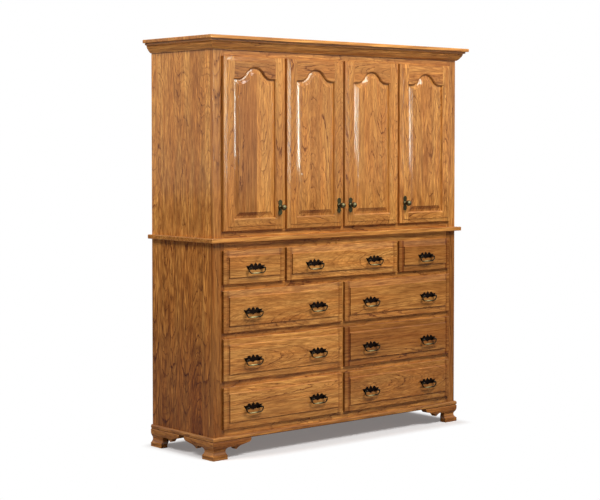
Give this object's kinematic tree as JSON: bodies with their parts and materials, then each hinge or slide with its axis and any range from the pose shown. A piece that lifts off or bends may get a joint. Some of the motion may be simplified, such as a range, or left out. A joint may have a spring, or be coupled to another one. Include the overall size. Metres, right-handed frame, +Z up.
{
  "type": "mule chest",
  "caption": "Tall oak mule chest: a chest of drawers with bail pulls on ogee bracket feet, under a cupboard with arched raised-panel doors and a crown moulding.",
  "frame": {"origin": "centre of the outline at floor level", "axes": "+Z up, the doors and drawers face -Y, +X to the right of someone facing the front"},
  "size_m": [1.676, 0.536, 1.93],
  "materials": {
    "oak": "medium oak stain, satin lacquer",
    "drawer_wood": "clear satin on pale wood",
    "antique_brass": "dark antique brass, rubbed",
    "steel": "nickel plate"
  },
  "bodies": {
    "case": {"crown": "oak", "upper_case": "oak", "upper_frame": "oak", "waist_top": "oak", "lower_case": "oak", "lower_frame": "oak", "back_panels": "drawer_wood", "base": "oak", "hinge_plates": "steel"},
    "door_1": {"door_1": "oak", "door_1_metal": "antique_brass"},
    "door_2": {"door_2": "oak", "door_2_metal": "antique_brass"},
    "door_3": {"door_3": "oak", "door_3_metal": "antique_brass"},
    "door_4": {"door_4": "oak", "door_4_metal": "antique_brass"},
    "drawer_11": {"front_11": "oak", "box_11": "drawer_wood", "plates_11": "antique_brass"},
    "bail_11": {"bail_11": "antique_brass"},
    "drawer_12": {"front_12": "oak", "box_12": "drawer_wood", "plates_12": "antique_brass"},
    "bail_12a": {"bail_12a": "antique_brass"},
    "bail_12b": {"bail_12b": "antique_brass"},
    "drawer_13": {"front_13": "oak", "box_13": "drawer_wood", "plates_13": "antique_brass"},
    "bail_13": {"bail_13": "antique_brass"},
    "drawer_21": {"front_21": "oak", "box_21": "drawer_wood", "plates_21": "antique_brass"},
    "bail_21a": {"bail_21a": "antique_brass"},
    "bail_21b": {"bail_21b": "antique_brass"},
    "drawer_22": {"front_22": "oak", "box_22": "drawer_wood", "plates_22": "antique_brass"},
    "bail_22a": {"bail_22a": "antique_brass"},
    "bail_22b": {"bail_22b": "antique_brass"},
    "drawer_31": {"front_31": "oak", "box_31": "drawer_wood", "plates_31": "antique_brass"},
    "bail_31a": {"bail_31a": "antique_brass"},
    "bail_31b": {"bail_31b": "antique_brass"},
    "drawer_32": {"front_32": "oak", "box_32": "drawer_wood", "plates_32": "antique_brass"},
    "bail_32a": {"bail_32a": "antique_brass"},
    "bail_32b": {"bail_32b": "antique_brass"},
    "drawer_41": {"front_41": "oak", "box_41": "drawer_wood", "plates_41": "antique_brass"},
    "bail_41a": {"bail_41a": "antique_brass"},
    "bail_41b": {"bail_41b": "antique_brass"},
    "drawer_42": {"front_42": "oak", "box_42": "drawer_wood", "plates_42": "antique_brass"},
    "bail_42a": {"bail_42a": "antique_brass"},
    "bail_42b": {"bail_42b": "antique_brass"}
  },
  "joints": [
    {"name": "door_1_hinge", "type": "hinge", "parent": "case", "child": "door_1", "pos_m": [-0.738, -0.2275, 1.043], "axis": [0, 0, -1], "range_deg": [0, 105]},
    {"name": "door_2_hinge", "type": "hinge", "parent": "case", "child": "door_2", "pos_m": [-0.3615, -0.2275, 1.043], "axis": [0, 0, -1], "range_deg": [0, 105]},
    {"name": "door_3_hinge", "type": "hinge", "parent": "case", "child": "door_3", "pos_m": [0.3615, -0.2275, 1.043], "axis": [0, 0, 1], "range_deg": [0, 105]},
    {"name": "door_4_hinge", "type": "hinge", "parent": "case", "child": "door_4", "pos_m": [0.738, -0.2275, 1.043], "axis": [0, 0, 1], "range_deg": [0, 105]},
    {"name": "drawer_11_slide", "type": "slide", "parent": "case", "child": "drawer_11", "axis": [0, -1, 0], "range_m": [0, 0.33]},
    {"name": "bail_11_swing", "type": "hinge", "parent": "drawer_11", "child": "bail_11", "pos_m": [-0.557, -0.242, 0.871], "axis": [-1, 0, 0], "range_deg": [0, 110]},
    {"name": "drawer_12_slide", "type": "slide", "parent": "case", "child": "drawer_12", "axis": [0, -1, 0], "range_m": [0, 0.33]},
    {"name": "bail_12a_swing", "type": "hinge", "parent": "drawer_12", "child": "bail_12a", "pos_m": [-0.1955, -0.242, 0.871], "axis": [-1, 0, 0], "range_deg": [0, 110]},
    {"name": "bail_12b_swing", "type": "hinge", "parent": "drawer_12", "child": "bail_12b", "pos_m": [0.1955, -0.242, 0.871], "axis": [-1, 0, 0], "range_deg": [0, 110]},
    {"name": "drawer_13_slide", "type": "slide", "parent": "case", "child": "drawer_13", "axis": [0, -1, 0], "range_m": [0, 0.33]},
    {"name": "bail_13_swing", "type": "hinge", "parent": "drawer_13", "child": "bail_13", "pos_m": [0.557, -0.242, 0.871], "axis": [-1, 0, 0], "range_deg": [0, 110]},
    {"name": "drawer_21_slide", "type": "slide", "parent": "case", "child": "drawer_21", "axis": [0, -1, 0], "range_m": [0, 0.33]},
    {"name": "bail_21a_swing", "type": "hinge", "parent": "drawer_21", "child": "bail_21a", "pos_m": [-0.572, -0.242, 0.6685], "axis": [-1, 0, 0], "range_deg": [0, 110]},
    {"name": "bail_21b_swing", "type": "hinge", "parent": "drawer_21", "child": "bail_21b", "pos_m": [-0.174, -0.242, 0.6685], "axis": [-1, 0, 0], "range_deg": [0, 110]},
    {"name": "drawer_22_slide", "type": "slide", "parent": "case", "child": "drawer_22", "axis": [0, -1, 0], "range_m": [0, 0.33]},
    {"name": "bail_22a_swing", "type": "hinge", "parent": "drawer_22", "child": "bail_22a", "pos_m": [0.174, -0.242, 0.6685], "axis": [-1, 0, 0], "range_deg": [0, 110]},
    {"name": "bail_22b_swing", "type": "hinge", "parent": "drawer_22", "child": "bail_22b", "pos_m": [0.572, -0.242, 0.6685], "axis": [-1, 0, 0], "range_deg": [0, 110]},
    {"name": "drawer_31_slide", "type": "slide", "parent": "case", "child": "drawer_31", "axis": [0, -1, 0], "range_m": [0, 0.33]},
    {"name": "bail_31a_swing", "type": "hinge", "parent": "drawer_31", "child": "bail_31a", "pos_m": [-0.572, -0.242, 0.4475], "axis": [-1, 0, 0], "range_deg": [0, 110]},
    {"name": "bail_31b_swing", "type": "hinge", "parent": "drawer_31", "child": "bail_31b", "pos_m": [-0.174, -0.242, 0.4475], "axis": [-1, 0, 0], "range_deg": [0, 110]},
    {"name": "drawer_32_slide", "type": "slide", "parent": "case", "child": "drawer_32", "axis": [0, -1, 0], "range_m": [0, 0.33]},
    {"name": "bail_32a_swing", "type": "hinge", "parent": "drawer_32", "child": "bail_32a", "pos_m": [0.174, -0.242, 0.4475], "axis": [-1, 0, 0], "range_deg": [0, 110]},
    {"name": "bail_32b_swing", "type": "hinge", "parent": "drawer_32", "child": "bail_32b", "pos_m": [0.572, -0.242, 0.4475], "axis": [-1, 0, 0], "range_deg": [0, 110]},
    {"name": "drawer_41_slide", "type": "slide", "parent": "case", "child": "drawer_41", "axis": [0, -1, 0], "range_m": [0, 0.33]},
    {"name": "bail_41a_swing", "type": "hinge", "parent": "drawer_41", "child": "bail_41a", "pos_m": [-0.572, -0.242, 0.2265], "axis": [-1, 0, 0], "range_deg": [0, 110]},
    {"name": "bail_41b_swing", "type": "hinge", "parent": "drawer_41", "child": "bail_41b", "pos_m": [-0.174, -0.242, 0.2265], "axis": [-1, 0, 0], "range_deg": [0, 110]},
    {"name": "drawer_42_slide", "type": "slide", "parent": "case", "child": "drawer_42", "axis": [0, -1, 0], "range_m": [0, 0.33]},
    {"name": "bail_42a_swing", "type": "hinge", "parent": "drawer_42", "child": "bail_42a", "pos_m": [0.174, -0.242, 0.2265], "axis": [-1, 0, 0], "range_deg": [0, 110]},
    {"name": "bail_42b_swing", "type": "hinge", "parent": "drawer_42", "child": "bail_42b", "pos_m": [0.572, -0.242, 0.2265], "axis": [-1, 0, 0], "range_deg": [0, 110]}
  ]
}
